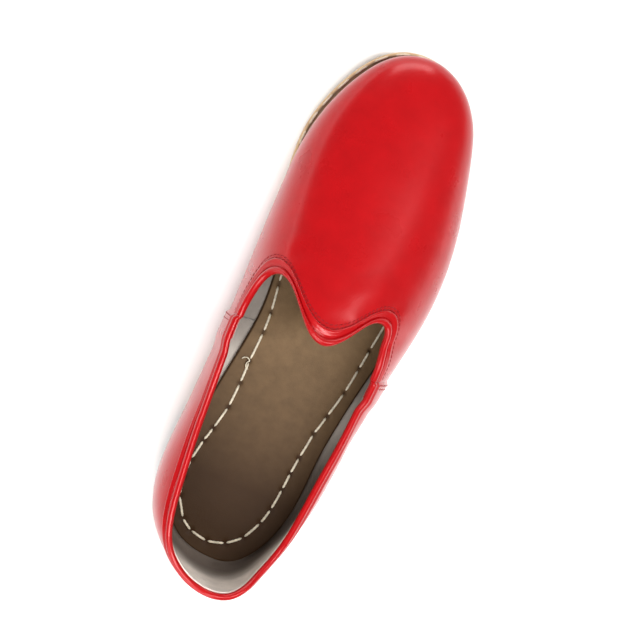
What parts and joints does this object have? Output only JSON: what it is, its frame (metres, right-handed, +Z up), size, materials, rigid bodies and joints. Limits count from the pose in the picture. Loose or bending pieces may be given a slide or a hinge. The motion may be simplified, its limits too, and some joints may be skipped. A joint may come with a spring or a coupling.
{
  "type": "slip-on shoe",
  "caption": "Low slip-on shoe in smooth red leather with a bound heart-shaped throat, side seams, a thin stitched leather sole and a low heel lift.",
  "frame": {"origin": "on the ground under the middle of the shoe's box", "axes": "+Z up, +Y toward the toe, +X toward the outer side of the right foot"},
  "size_m": [0.0892, 0.2648, 0.0671],
  "materials": {
    "red_leather": "satin",
    "red_binding": "satin",
    "tan_leather": "matte",
    "insole_leather": "matte",
    "dark_rubber": "matte"
  },
  "bodies": {
    "root": {"outsole": "tan_leather", "heel_lift": "dark_rubber", "insole": "insole_leather", "upper": "red_leather", "vamp_binding": "red_binding", "quarter_binding": "red_binding"}
  },
  "joints": []
}
